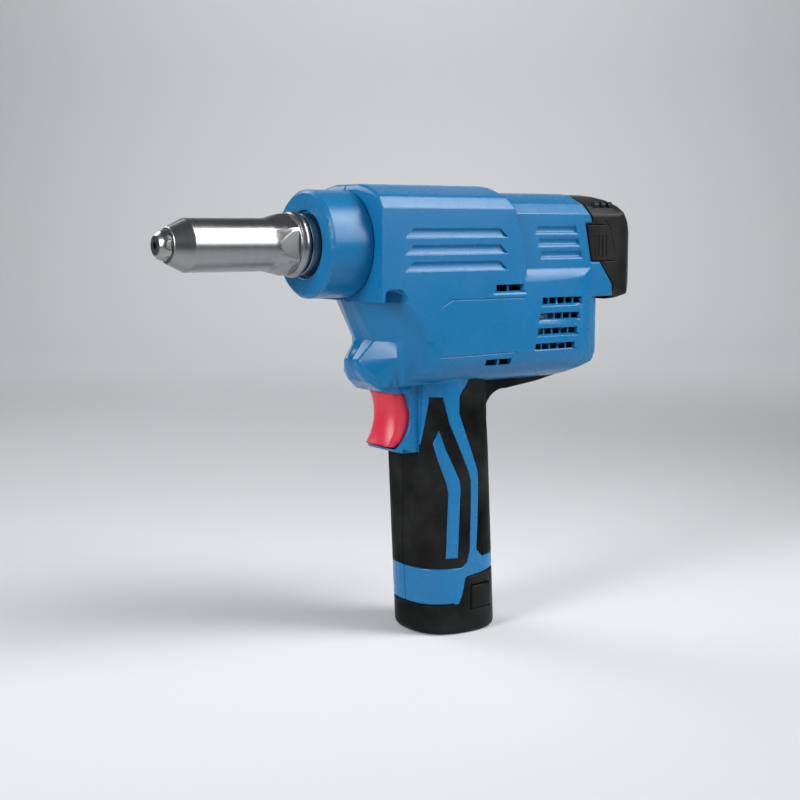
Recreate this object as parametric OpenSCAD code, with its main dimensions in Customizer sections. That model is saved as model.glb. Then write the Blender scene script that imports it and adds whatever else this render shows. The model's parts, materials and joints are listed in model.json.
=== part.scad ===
// Battery rivet tool, as an assembly of separate pieces.
// Origin: front face of the nosepiece on the pull axis. +X runs to the rear, +Z is up.
// The left side of the tool is -Y.

/* [Nose] */
// Length of the nosepiece head that shows ahead of the nose housing
tip_len = 5.2; // [4.4:0.1:6]
// Bore of the nosepiece that takes the rivet's mandrel
mandrel_bore_d = 3.2; // [2.6:0.1:3.6]
// Diameter of the nose housing at the small end of its cone
nose_tip_d = 15.8; // [15:0.1:18]
// Length of the nose cone
nose_cone_len = 8.1; // [7:0.1:10]
// Diameter of the straight nose barrel
nose_d = 23.5; // [23:0.1:26]
// Length of the straight nose barrel
nose_barrel_len = 38.7; // [38:0.1:44]
// Length of the flare with wrench flats
nose_flare_len = 12; // [10:0.1:14]
// Diameter of the nose flange
nose_flange_d = 30; // [29:0.1:33]
// Length of the nose flange
nose_flange_len = 12; // [11:0.1:14]

/* [Front collar] */
// Diameter of the front collar
collar_d = 49.2; // [46:0.1:51]
// Length of the front collar
collar_len = 22.2; // [20:0.1:26]
// Chamfer on the collar's front edge
collar_chamfer = 1.6; // [0.8:0.1:2.4]
// Depth to which the nose flange sits in the collar
collar_recess = 2.6; // [1.6:0.1:4]

/* [Body] */
// Width of the body over both shells
body_w = 61; // [58:0.5:66]
// Height of the roof above the pull axis
body_top = 27.2; // [26.6:0.1:30]
// Depth of the belly below the pull axis
body_bottom = 66.5; // [65.5:0.1:70]
// Length from the body's front face to the cap's seam at the pull axis
body_len = 128; // [126:0.5:136]
// Length from the body's front face to the step in the roof
front_len = 80; // [76:0.5:86]
// How far the rear of the upper body steps in
step_in = 2.4; // [1.6:0.1:3]
// Wall thickness of the shells
wall = 2.5; // [2:0.1:2.8]
// Parting gap between the two shells
shell_gap = 0.2; // [0.1:0.05:0.4]

/* [Grip] */
// Depth of the handle, front to back
handle_depth = 46.6; // [45:0.2:52]
// Width of the handle
handle_width = 44.6; // [44:0.2:50]
// Handle axis behind the body's front face, at the top of the handle
handle_offset = 54; // [52:0.2:56]
// Backward lean of the handle, in degrees
handle_lean = 2.7; // [1.5:0.1:3.5]
// Depth of the battery's underside below the pull axis
foot_depth = 188.5; // [187:0.5:200]
// Thickness of the rubber grips
rubber_t = 1.5; // [1:0.1:1.7]
// Width of the trigger
trigger_w = 19; // [16:0.5:20]
// Travel of the trigger
trigger_travel = 6; // [4:0.5:6.5]

/* [Drive] */
// Outer diameter of the pull screw
screw_d = 12; // [11:0.1:12.6]
// Bore through the pull screw
screw_bore_d = 5.2; // [4.6:0.1:6]
// Pulling stroke
stroke = 20; // [16:0.5:21]
// Module of the nut gear and the drive pinion
gear_module = 1.25; // [1.24:0.005:1.27]
// Face width of the nut gear
gear_face = 8; // [6:0.5:9]
// Module of the planetary stage
planet_module = 0.6; // [0.58:0.01:0.62]
// Diameter of the motor can
motor_d = 36; // [34:0.2:37]
// Length of the motor can
motor_len = 44; // [42:0.5:46]
// Diameter of the cooling fan
fan_d = 33; // [30:0.5:34]

/* [Collector] */
// Length of the collector cap behind the seam at the pull axis
cap_len = 34.6; // [33:0.2:44]
// Wall thickness of the collector cap
cap_wall = 2.2; // [1.8:0.1:2.6]
// Height of the cap's latch tab
latch_h = 17.6; // [15:0.2:19]

/* [Battery] */
// Diameter of one battery cell
cell_d = 14.6; // [13.6:0.1:15.2]
// Length of one battery cell
cell_len = 65; // [60:0.5:66]
// Wall thickness of the battery's tower
tower_wall = 1.2; // [1:0.1:1.4]

/* [Hidden] */
$fn = 64;

// Clearances
eps = 0.02;
run_gap = 0.06;
slide_gap = 0.3;
seat_gap = 0.15;
press_gap = 0.04;

// Colours
body_blue = [0.04, 0.40, 0.61];
soft_black = [0.10, 0.10, 0.10];
hard_black = [0.07, 0.08, 0.08];
bright_steel = [0.72, 0.72, 0.72];
bright_alloy = [0.74, 0.74, 0.75];
dark_steel = [0.38, 0.38, 0.40];
trigger_red = [0.85, 0.14, 0.24];
brass_tone = [0.78, 0.62, 0.30];
copper_tone = [0.72, 0.42, 0.25];
board_green = [0.06, 0.35, 0.20];
cell_grey = [0.45, 0.55, 0.60];

// Stations along the pull axis
x_cone = tip_len;
x_barrel = x_cone + nose_cone_len;
x_flare = x_barrel + nose_barrel_len;
x_flange = x_flare + nose_flare_len;
x_flange_end = x_flange + nose_flange_len;
x_collar = x_flange_end - collar_recess;
x_body = x_collar + collar_len;
x_step = x_body + front_len;
x_seam = x_body + body_len;
x_end = x_seam + cap_len;

// Body outlines
half_w = body_w / 2;
rear_half_w = half_w - step_in;
rear_top = body_top - step_in - 0.6;
shoulder = body_top - 10.7;
roof_flat = 10;
roof_break = 16;
chamfer_in = 3.5;
chamfer_drop = 5.2;
overhang_z = -26;
wing_z = overhang_z - 0.6;
ledge_z = -12.5;
ledge_h = 4.5;
belly_turn = 18;
chin_back = 10.5;
chin_reach = 7.6;
waist_z = -44.6;
lip_z = -body_bottom - 3.4;

// Gear train
nut_teeth = 30;
pinion_teeth = 32;
axis_gap = gear_module * (nut_teeth + pinion_teeth) / 2;
sun_teeth = 18;
planet_teeth = 18;
ring_teeth = sun_teeth + 2 * planet_teeth;
planet_orbit = planet_module * (sun_teeth + planet_teeth) / 2;
pressure_angle = 22;
backlash = 0.05;

// Nose and jaws
nose_bore_r = nose_d / 2 - 2.5;
jaw_case_r = nose_bore_r - slide_gap;
nosepiece_r = 5;
thread_len = 3;
jaw_x = x_barrel + thread_len + 3.1;
jaw_len = 12;
jaw_case_len = 30;
jaw_lip = 1.6;
jaw_small_r = 5;
jaw_big_r = 6.7;
jaw_angle = atan((jaw_big_r - jaw_small_r) / jaw_len);
jaw_gap = 0.3;
jaw_slit = 0.7;
pusher_len = 3;
spring_wire = 0.9;
spring_turns = 5;

// Screw, nut and bearings
screw_r = screw_d / 2;
screw_stub = 5;
x_screw = jaw_x + jaw_case_len - screw_stub;
journal_r = screw_r + 4;
bearing_r = journal_r + 6.5;
bearing_w = 7;
plate_t = 4;
x_front_bearing = x_body + 14;
x_front_plate = x_front_bearing + bearing_w + 0.4;
x_gear = x_front_plate + plate_t + 3;
x_rear_plate = x_gear + gear_face + 3;
x_ring = x_rear_plate + bearing_w + 0.4;
gear_bowl_r = bearing_r + 2.6;
neck_r = nose_flange_d / 2 - 3;
neck_bite = 10;
x_neck = x_flange_end - neck_bite;
pinion_shaft_r = 4;
pinion_bearing_r = 8;
sleeve_r = screw_r + 4;
sleeve_wall = 2;
slider_len = 8;
slider_wing = 5;
x_slider = x_ring + 5;
x_sleeve = x_ring + 1;
sleeve_len = slider_len + stroke + 14;
tube_r = screw_bore_d / 2 + 1.3;
tube_bite = 4;

// Planetary stage and motor
carrier_t = 4;
planet_face = 6;
planet_pin_r = 1.6;
ring_len = carrier_t + planet_face + 6;
ring_outer_r = planet_module * ring_teeth / 2 + 3;
x_carrier = x_ring + 1;
x_planet = x_carrier + carrier_t + 0.5;
x_motor = x_ring + ring_len;
x_motor_end = x_motor + motor_len;
motor_r = motor_d / 2;
can_wall = 1.2;
magnet_t = 5;
core_r = motor_r - can_wall - magnet_t - 0.6;
end_cap_len = 8;
shaft_r = 2.5;
x_fan = x_motor_end + end_cap_len + 2;
fan_len = 9;
fan_blades = 11;
board_t = 1.6;
board_z = -axis_gap - motor_r - 4.4;

// Rear bulkhead and collector
latch_len = 15.4;
latch_slant = 4;
latch_gap = 0.45;
x_latch = x_seam - 3.5;
bulkhead_r = 20;
bulkhead_t = 3;
x_bulkhead = x_seam - 18;
x_tube = x_slider + slider_len - tube_bite;
tube_end = x_end - stroke - cap_wall - 6;

// Handle and battery, in the handle's own leaning frame
handle_a = handle_depth / 2;
handle_b = handle_width / 2;
handle_power = 2.5;
handle_x = x_body + handle_offset;
handle_z = -100;
foot_z = -foot_depth;
base_front_z = foot_z + 14.2;
base_rear_z = base_front_z + 14;
shelf_t = 2;
shelf_z = -97.2;
block_t = 4;
handle_trim = 0.6;
handle_in = rubber_t + wall - handle_trim;
tower_by = handle_in + slide_gap;
tower_top = shelf_z - shelf_t - block_t - 1.6;
tower_cap_t = 2;
blade_t = 0.8;
blade_w = 7;
blade_reach = 5;
blade_pitch = 9;
tower_slim = 2.6;
cell_shift = 1;
cell_top = tower_top - blade_reach - 0.6;
cell_low = cell_top - cell_len;
tower_foot = cell_low;
button_travel = 1.5;
button_w = 13;
button_h = 11;
button_gap = 0.35;
button_proud = 0.9;
button_x = handle_x + 10.4;
button_z = base_rear_z - 10.4;

// Switch and trigger
switch_w = 16;
switch_h = 22;
switch_len = 23.4;
x_switch = handle_x - 12;
trigger_top = -69.2;
trigger_low = -96;
trigger_x = x_body + 19;
trigger_back = handle_x - 20.6;
trigger_gap = 0.4;
brow_half = trigger_w / 2 + 2.6;
trigger_axis = trigger_x + 12.4;
trigger_waist_r = 12.75;
trigger_waist_z = -80.3;
trigger_hollow = 30;
rim_x = handle_x - 44.1;
rim_z = -80.6;
rim_r = 19.2;
sill_z = trigger_low - trigger_gap - 2;
plunger_r = 2.5;
plunger_z = (trigger_top + trigger_low) / 2;

// Shell screws
boss_r = 4.2;
screw_hole_r = 1.5;
screw_head_r = 2.9;
screw_head_t = 2;
screw_seat = 10;
screw_sites = [
  [x_body + 54, body_top - 7],
  [x_step + 24, rear_top - 7.2],
  [x_body + 62, -14.7],
  [x_seam + 4.4, -46],
  [x_body + 12.4, -58],
  [handle_x + 30, -66]
];

// Helpers for outlines and directions

function superellipse(a, b, n = 2.5, steps = 56) = [
  for (i = [0 : steps - 1]) let (t = 360 * i / steps, c = cos(t), s = sin(t))
    [a * sign(c) * pow(abs(c), 2 / n), b * sign(s) * pow(abs(s), 2 / n)]
];

function arc(cx, cy, r, from, to, steps = 8) = [
  for (i = [0 : steps]) let (t = from + (to - from) * i / steps) [cx + r * cos(t), cy + r * sin(t)]
];

function oval_arc(cx, cy, rx, ry, from, to, steps = 10) = [
  for (i = [0 : steps]) let (t = from + (to - from) * i / steps) [cx + rx * cos(t), cy + ry * sin(t)]
];

function mirrored(half) = concat(half, [for (i = [len(half) - 1 : -1 : 0]) [-half[i][0], half[i][1]]]);

module side_plate(points, half, by = 0) {
  rotate([90, 0, 0]) linear_extrude(height = 2 * half, center = true) inset(by) polygon(points);
}

module section_bar(points, x0, x1, by = 0) {
  translate([x0, 0, 0]) rotate([90, 0, 90]) linear_extrude(height = x1 - x0) inset(by) polygon(points);
}

module plan_block(points, z0, z1, by = 0) {
  translate([0, 0, z0]) linear_extrude(height = z1 - z0) inset(by) polygon(points);
}

module inset(by) {
  if (by > 0) offset(delta = -by) children();
  else children();
}

// A prism on both sides of the body, between two distances from the middle plane
module side_pair(points, y_in, y_out) {
  for (s = [-1, 1])
    translate([0, s * (y_in + y_out) / 2, 0]) rotate([90, 0, 0])
      linear_extrude(height = y_out - y_in, center = true) polygon(points);
}

// A cylinder along X from x0 to x1 on an axis at height z
module rod(r, x0, x1, z = 0, y = 0) {
  translate([x0, y, z]) rotate([0, 90, 0]) cylinder(r = r, h = x1 - x0);
}

module tube(r_out, r_in, x0, x1, z = 0) {
  difference() {
    rod(r_out, x0, x1, z);
    rod(r_in, x0 - 1, x1 + 1, z);
  }
}

// A round solid turned about the X axis from [x, r] points
module turned(points, z = 0) {
  translate([0, 0, z]) rotate([0, 90, 0])
    rotate_extrude() polygon([for (p = points) [p[1], p[0]]]);
}

// A flat shape in the YZ plane, pushed out along X
module across(x0, x1, z = 0) {
  translate([x0, 0, z]) rotate([90, 0, 90]) linear_extrude(height = x1 - x0) children();
}

module half_space(s) {
  far = 400;
  translate([-far / 4, s > 0 ? shell_gap / 2 : -far - shell_gap / 2, -far]) cube([2 * far, far, 2 * far]);
}

// Gear teeth

function involute(a) = tan(a) * 180 / PI - a;

function tooth_half_angle(teeth, m, r, slack) =
  let (pitch = m * teeth / 2, base = pitch * cos(pressure_angle))
    90 / teeth - slack * 90 / (PI * pitch) + involute(pressure_angle)
    - (r > base ? involute(acos(base / r)) : 0);

function gear_points(teeth, m, tip, root, slack) =
  let (pitch = m * teeth / 2,
       radii = [for (i = [0 : 4]) pitch - root * m + (tip + root) * m * i / 4])
    [for (k = [0 : teeth - 1]) for (side = [-1, 1]) for (i = [0 : 4])
      let (r = side < 0 ? radii[i] : radii[4 - i],
           t = 360 * k / teeth + side * tooth_half_angle(teeth, m, r, slack))
        [r * cos(t), r * sin(t)]];

module gear(teeth, m, x0, x1, z = 0, phase = 0, bore = 0, y = 0) {
  difference() {
    translate([0, y, 0]) across(x0, x1, z) rotate(phase) polygon(gear_points(teeth, m, 0.9, 1.2, backlash));
    rod(bore, x0 - 1, x1 + 1, z, y);
  }
}

// Outer form of the body

front_section = mirrored([
  [roof_flat, body_top], [roof_break, body_top - 1], [half_w - chamfer_in, body_top - chamfer_drop],
  [half_w, shoulder], [half_w, overhang_z]
]);

rear_section = mirrored([
  [roof_flat, rear_top], [roof_break, rear_top - 1], [rear_half_w - chamfer_in, rear_top - chamfer_drop],
  [rear_half_w, shoulder - step_in], [rear_half_w, wing_z]
]);

lower_section = mirrored(concat(
  [[rear_half_w, ledge_z], [half_w, ledge_z - ledge_h]],
  arc(half_w - belly_turn, belly_turn - body_bottom, belly_turn, 0, -80)
));

front_side = [
  [x_body, overhang_z], [x_body, body_top], [x_step - 8, body_top], [x_step - 5.2, shoulder + 4],
  [x_step - 2, shoulder - 2], [x_step + 2.6, 1.6], [x_step + 4.5, ledge_z], [x_step + 5.5, overhang_z]
];

// Seam between the body and the collector cap, from the roof down to the tail
latch_top = latch_h / 2 + 2 * latch_gap;
latch_low = -latch_h / 2 - latch_gap;
wing_x = x_seam + 15.2;
seam = [
  [x_seam - 4.6, body_top + 2], [x_seam - 3.4, rear_top - chamfer_drop + 1.4],
  [x_seam - 1.6, shoulder - 0.6], [x_seam + 0.4, latch_top + 1.6], [x_seam + 0.4, latch_top],
  [x_latch - slide_gap, latch_top],
  [x_latch + latch_slant - slide_gap, latch_low], [x_seam + 6.1, latch_low], [wing_x - 0.6, -20.5],
  [wing_x, wing_z], [wing_x, wing_z - 2.4]
];

rear_side = concat([[x_body + 60, wing_z], [x_body + 60, body_top]], seam);

tail_x = x_seam + 18;
tail_round = 46;
tail_turn = 30;

lower_side = concat(
  [[x_body + chin_back, ledge_z], [x_body + chin_back, waist_z - 20], [x_body + 13, waist_z - 24],
   [tail_x - 31, waist_z - 24]],
  oval_arc(tail_x - tail_round, -33, tail_round, body_bottom - 33, -82, -2),
  [[wing_x, wing_z - 2.4], [wing_x, wing_z], [wing_x - 0.6, -20.5], [x_seam + 8.6, ledge_z]]
);

crease_x = 16;
crease_y = 18.5;
crease_turn = 14;

left_plan = concat(
  [[x_body + chin_back, -8], [x_body + crease_x, -crease_y]],
  oval_arc(x_body + 37, -half_w + crease_turn, 20, crease_turn, 200, 270, 5),
  arc(tail_x - tail_turn, -half_w + tail_turn, tail_turn, -90, 0, 9)
);

plan_last = len(left_plan) - 1;
lower_plan = concat(left_plan, [for (i = [plan_last : -1 : 0]) [left_plan[i][0], -left_plan[i][1]]]);

web_half = 15;
web_side = concat(
  [[handle_x, -body_bottom + 4], [tail_x - 22, -body_bottom + 4], [tail_x - 30, -body_bottom + 0.5],
   [tail_x - 42, -body_bottom - 2]],
  arc(handle_x + 29.2, -body_bottom - 16.4, 12, 84, 184, 8),
  [[handle_x, -100]]
);

handle_side = [
  [handle_x - 20.6, -60], [handle_x - 20.7, -110], [handle_x - 21.8, -160], [handle_x - 22, foot_z - 5],
  [handle_x + 40, foot_z - 5], [handle_x + 40, -170], [handle_x + 23.6, -124], [handle_x + 21.4, -106],
  [handle_x + 18.4, -96], [handle_x + 16.6, -86], [handle_x + 17.2, -60]
];

// The handle's leaning column, made thinner all round by an inset
module handle_column(by = 0, high = 70, low = 110) {
  translate([handle_x, 0, handle_z]) rotate([0, -handle_lean, 0]) translate([0, 0, -low])
    linear_extrude(height = high + low) polygon(superellipse(handle_a - by, handle_b - by, handle_power));
}

module handle_form(by = 0) {
  intersection() {
    handle_column(by, 46);
    side_plate(handle_side, half_w, by);
  }
}

module web_form(by = 0) {
  side_plate(web_side, web_half - by, by);
}

module upper_front(by = 0) {
  intersection() {
    section_bar(front_section, x_body + by, x_step + 6, by);
    side_plate(front_side, half_w, by);
  }
}

module upper_rear(by = 0) {
  intersection() {
    section_bar(rear_section, x_body + 60, wing_x, by);
    side_plate(rear_side, half_w, by);
  }
}

module lower_body(by = 0) {
  intersection() {
    section_bar(lower_section, x_body, tail_x, by);
    side_plate(lower_side, half_w, by);
    plan_block(lower_plan, -body_bottom - 10, 0, by);
  }
}

// Column under the overhang, which narrows down to the waist
function column_points(by) = [for (s = [-1, 1]) each concat(
  [for (z = [ledge_z, overhang_z - 1]) each [
    [x_body + 1.4 + by, s * (6 - by / 2), z], [x_body + 11.5 + by, s * (24.8 - by), z],
    [x_body + 14.6 + by, s * (half_w - by), z], [x_body + 40, s * (half_w - by), z]]],
  [[x_body + chin_back + by, s * (8 - by / 2), waist_z],
   [x_body + crease_x + by, s * (crease_y - by), waist_z],
   [x_body + 27 + by, s * (half_w - by - 1.2), waist_z], [x_body + 40, s * (half_w - by), waist_z]]
)];

module hull_of(points) {
  hull() polyhedron(points, [for (i = [0 : len(points) - 3]) [i, i + 1, i + 2]]);
}

// Faceted bulge under the nose, with a pointed side crease
chin_points = [for (s = [-1, 1]) each [
  [x_body + chin_back, s * 8, waist_z], [x_body + chin_back - chin_reach, s * 5.6, waist_z - 9],
  [x_body + chin_back - chin_reach + 1.2, s * 5.6, waist_z - 14.4],
  [x_body + crease_x + 0.4, s * (crease_y + 0.6), waist_z - 7.6], [x_body + 7.2, s * 12.4, waist_z - 15.6],
  [x_body + 7.2, s * 8.4, waist_z - 19.4], [x_body + 13.4, s * 11, waist_z - 24],
  [x_body + 21, s * brow_half, lip_z], [x_body + 28, s * brow_half, lip_z],
  [x_body + 28, s * 18, waist_z - 9]
]];

// Frame round the trigger: a brow over it, curved lips beside it and a sill below
module trigger_frame() {
  x0 = x_body + 20;
  side_plate(concat(
    [[handle_x - 8, waist_z - 16], [x0, waist_z - 16], [x0, lip_z + 0.6], [x0 + 1, lip_z]],
    arc(rim_x, rim_z, rim_r, 34, -48, 12),
    [[rim_x + 10.7, sill_z + 2], [rim_x + 11.5, sill_z + 0.8], [rim_x + 14, sill_z], [handle_x - 8, sill_z]]
  ), brow_half);
}

// Lower edge of the handle shells, above the battery's base
foot_edge = [
  [handle_x - 60, base_front_z], [handle_x - 3.4, base_front_z + 1.2], [handle_x - 1.2, base_front_z + 6],
  [handle_x + 0.4, base_rear_z - 0.8], [handle_x + 1.4, base_rear_z], [handle_x + 60, base_rear_z + 5.6]
];

function below(edge, drop) = concat([for (p = edge) p - [0, drop]],
  [[handle_x + 60, foot_z - 40], [handle_x - 60, foot_z - 40]]);

module body_form() {
  upper_front();
  upper_rear();
  lower_body();
  hull_of(column_points(0));
  hull_of(chin_points);
  trigger_frame();
  intersection() {
    union() {
      handle_form();
      web_form();
    }
    translate([handle_x - 60, -half_w, foot_z]) cube([200, body_w, -foot_z - 60]);
  }
}

module body_cavity() {
  upper_front(wall);
  upper_rear(wall);
  lower_body(wall);
  hull_of(column_points(wall));
  // Ways through between the upper and lower chambers
  intersection() {
    plan_block(lower_plan, -46, -8, wall);
    section_bar(rear_section, x_body, x_seam - 4, wall);
  }
  section_bar([for (p = rear_section) [p[0], max(p[1], -10)]], x_body + 40, x_step + 20, wall);
  intersection() {
    handle_column(handle_in, 46);
    side_plate(handle_side, half_w, handle_in);
    translate([handle_x - 60, -half_w, foot_z - 10]) cube([120, body_w, -foot_z - 46]);
  }
}

// Grip pads in side view

front_pad = [
  [handle_x - 50, -100.8], [handle_x - 22.8, -100.8], [handle_x - 20.6, -94.5], [handle_x - 19.4, -84],
  [handle_x - 18.2, -72], [handle_x - 12.6, -72], [handle_x - 9.2, -85], [handle_x - 3.7, -97],
  [handle_x + 1.8, -109], [handle_x + 3.2, -114], [handle_x + 3.2, -128], [handle_x + 2.8, -147],
  [handle_x + 1.2, -153], [handle_x - 2, -155.4], [handle_x - 50, -155.4]
];

front_pad_island = [
  [handle_x - 14.2, -88], [handle_x - 11, -97.3], [handle_x - 3.5, -112.8], [handle_x - 2.8, -118.2],
  [handle_x - 3.8, -150.6], [handle_x - 10.2, -150.4], [handle_x - 9.3, -118.6], [handle_x - 10.3, -113.7],
  [handle_x - 14.4, -102], [handle_x - 16.5, -94.3]
];

rear_pad = [
  [handle_x + 1.6, -64], [handle_x - 3.8, -72.4], [handle_x - 3.8, -80.4], [handle_x + 2.3, -95.4],
  [handle_x + 7.6, -108.6], [handle_x + 8.4, -120.5], [handle_x + 7.8, -138], [handle_x + 7.2, -147.4],
  [handle_x + 11, -151.2], [handle_x + 60, -151.2], [handle_x + 90, -100], [handle_x + 90, -64.2]
];

module grip_skin() {
  difference() {
    union() {
      handle_form();
      web_form();
    }
    handle_form(rubber_t);
    web_form(rubber_t);
    lower_body();
  }
}

module front_pad_region(by = 0) {
  difference() {
    side_plate(front_pad, half_w, by);
    side_plate(front_pad_island, half_w + 1);
    translate([handle_x - 60, -brow_half - 0.4, sill_z - 0.2]) cube([60, 2 * brow_half + 0.8, 40]);
  }
}

module rear_pad_region(by = 0) {
  side_plate(rear_pad, half_w, by);
}

// Marks in the shells' sides

// A groove on both sides with walls that slope as deep as they are tall
module groove(x0, x1, z, h, y, point) {
  d = groove_depth;
  intersection() {
    side_pair([[x0 - point, z - h], [x0 + point, z], [x1 - point, z], [x1 + point, z - h]], y - d, y + 1);
    for (s = [-1, 1]) across(x0 - point, x1 + point)
      polygon([[s * (y + d), z + d], [s * (y - d), z - d], [s * (y - d), z - h + d],
        [s * (y + d), z - h - d]]);
  }
}

groove_depth = 1.1;
front_groove_h = 4.6;
front_groove_pitch = 7.6;
rear_groove_h = 3.7;
rear_groove_pitch = 6.05;
rear_groove_shift = 1.7;
rear_groove_len = 26;

module side_grooves() {
  for (i = [0 : 2]) {
    x_rear = x_step + 11.8 + i * rear_groove_shift;
    groove(x_body + 15, x_step - 10, 7.4 - i * front_groove_pitch, front_groove_h, half_w, 2.4);
    groove(x_rear, x_rear + rear_groove_len, 8.3 - i * rear_groove_pitch, rear_groove_h, rear_half_w, 0.5);
  }
}

vent_rows = 4;
vent_cells = 5;
vent_pitch = 7.35;
vent_h = 3;
vent_len = 25.4;
vent_shift = 1.45;
vent_bar = 0.8;
vent_lip = 1.1;
vent_sink = 1.6;
x_vent = x_step + 14.5;
vent_z = -26.3;

// A row of openings over a sloping lip; the bars between them stay below the surface
module vent_row(x0, z, len, cells) {
  depth = 12;
  low = z - vent_h;
  floor = half_w - vent_sink;
  cell = (len - (cells - 1) * vent_bar) / cells;
  side_pair([[x0, low], [x0, z], [x0 + len, z], [x0 + len, low]], floor, half_w + 1);
  for (i = [0 : cells - 1]) let (x = x0 + i * (cell + vent_bar))
    side_pair([[x, low], [x, z], [x + cell, z], [x + cell, low]], half_w - depth, half_w);
  for (s = [-1, 1]) across(x0 - vent_lip, x0 + len + vent_lip)
    polygon([[s * floor, low], [s * (half_w + 1), low], [s * (half_w + 1), low - vent_lip],
      [s * half_w, low - vent_lip]]);
}

module vents() {
  for (i = [0 : vent_rows - 1])
    vent_row(x_vent - i * vent_shift, vent_z - i * vent_pitch, vent_len, vent_cells);
  vent_row(x_step - 14.2, -19.4, 16, 2);
  vent_row(x_step - 19.4, -54.6, 15.4, 2);
}

label_line = 0.6;
label_depth = 0.4;

module label_lines() {
  top = vent_z + 0.8;
  low = -52;
  x0 = x_body + 31;
  x1 = x_step + 3;
  upper = [
    [x0, top - 4.4], [x0 + 8, top], [x1, top], [x1, top - label_line], [x0 + 8.3, top - label_line],
    [x0 + 0.4, top - 4.8]
  ];
  lower = [
    [x0 + 1.5, low], [x1 - 4, low + 0.4], [x1 - 4, low + 0.4 - label_line], [x0 + 1.5, low - label_line]
  ];
  side_pair(upper, half_w - label_depth, half_w + 1);
  side_pair(lower, half_w - 2 * label_depth, half_w + 1);
}

scallop_r = 28;
scallop_sink = 1.1;

module roof_scallops() {
  for (i = [0 : 2])
    translate([x_body + 30 + i * 18, 0, body_top + scallop_r - scallop_sink]) rotate([90, 0, 0])
      cylinder(r = scallop_r, h = 2 * roof_flat, center = true);
}

// Arched notch in the overhang's side, just behind its front corner, and the floor above it
notch_top = overhang_z + 5.6;
notch_end = x_body + 14.6;

module overhang_notch() {
  difference() {
    side_pair([[x_body + 1.6, overhang_z - 1], [x_body + 2, notch_top - 1.4], [x_body + 4, notch_top],
      [notch_end - 4, notch_top], [notch_end - 1, notch_top - 2], [notch_end, overhang_z - 1]],
      crease_y / 2, half_w + 1);
    hull_of(column_points(0));
  }
}

module overhang_floor() {
  intersection() {
    upper_front(wall / 2);
    translate([x_body, -half_w, overhang_z])
      cube([notch_end - x_body + wall, body_w, notch_top + wall - overhang_z]);
  }
}

// Ribs inside the shells that carry the drive

module rib(x, t, z_low, z_high) {
  intersection() {
    translate([x, -half_w, z_low]) cube([t, body_w, z_high - z_low]);
    union() {
      upper_front(wall / 2);
      upper_rear(wall / 2);
      lower_body(wall / 2);
    }
  }
}

rib_t = 2;
x_rib_bowl = x_front_bearing + 1;
x_rib_ring = x_ring + 7;
x_rib_motor_a = x_motor + 8;
x_rib_motor_b = x_motor_end - 8;
fan_roof = max(fan_d / 2, motor_r) - axis_gap + 1;

module ribs() {
  difference() {
    rib(x_rib_bowl, rib_t, overhang_z, body_top);
    rod(gear_bowl_r + seat_gap, x_rib_bowl - 1, x_rib_bowl + rib_t + 1);
    translate([x_rib_bowl - 1, -half_w, overhang_z - 5]) cube([rib_t + 2, body_w, 11]);
  }
  difference() {
    rib(x_rib_ring, rib_t, -body_bottom, body_top);
    rod(sleeve_r + seat_gap, x_rib_ring - 1, x_rib_ring + rib_t + 1);
    rod(ring_outer_r + seat_gap, x_rib_ring - 1, x_rib_ring + rib_t + 1, -axis_gap);
  }
  for (x = [x_rib_motor_a, x_rib_motor_b]) difference() {
    rib(x, rib_t, -body_bottom, body_top);
    rod(sleeve_r + seat_gap, x - 1, x + rib_t + 1);
    rod(motor_r + seat_gap, x - 1, x + rib_t + 1, -axis_gap);
    rod(bulkhead_r + seat_gap, x_bulkhead, x_bulkhead + bulkhead_t);
  }
  difference() {
    rib(x_bulkhead - rib_t, rib_t, fan_roof, body_top);
    rod(bulkhead_r - 4, x_bulkhead - rib_t - 1, x_bulkhead + 1);
  }
  difference() {
    rib(x_bulkhead, bulkhead_t, fan_roof, body_top);
    rod(bulkhead_r + seat_gap, x_bulkhead - 1, x_bulkhead + bulkhead_t + 1);
  }
}

module shelf() {
  intersection() {
    translate([handle_x - 40, -half_w, shelf_z - shelf_t]) cube([80, body_w, shelf_t]);
    handle_form(rubber_t + handle_trim);
  }
}

module bosses() {
  for (p = screw_sites) intersection() {
    translate([p[0], 0, p[1]]) rotate([90, 0, 0]) cylinder(r = boss_r, h = body_w, center = true);
    union() {
      upper_front(wall / 2);
      upper_rear(wall / 2);
      lower_body(wall / 2);
      web_form(wall);
    }
  }
}

module screw_holes() {
  for (p = screw_sites) translate([p[0], 0, p[1]]) rotate([90, 0, 0]) {
    translate([0, 0, -screw_seat]) cylinder(r = screw_hole_r + seat_gap, h = 2 * screw_seat);
    translate([0, 0, -half_w - 1]) cylinder(r = screw_head_r + slide_gap, h = half_w + 1 - screw_seat);
  }
}

module trigger_slot() {
  w = trigger_w / 2 + trigger_gap;
  x0 = trigger_x - 4;
  x1 = trigger_back + trigger_travel + 1;
  z0 = trigger_low - trigger_gap;
  z1 = trigger_top + trigger_gap;
  translate([x0, -w, z0]) cube([x1 - x0, 2 * w, z1 - z0]);
}

module board_shelf() {
  for (x = [x_rib_motor_a + 12, x_rib_motor_b - 6]) intersection() {
    translate([x, -half_w, -body_bottom]) cube([rib_t, body_w, body_bottom + board_z]);
    lower_body(wall / 2);
  }
}

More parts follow.
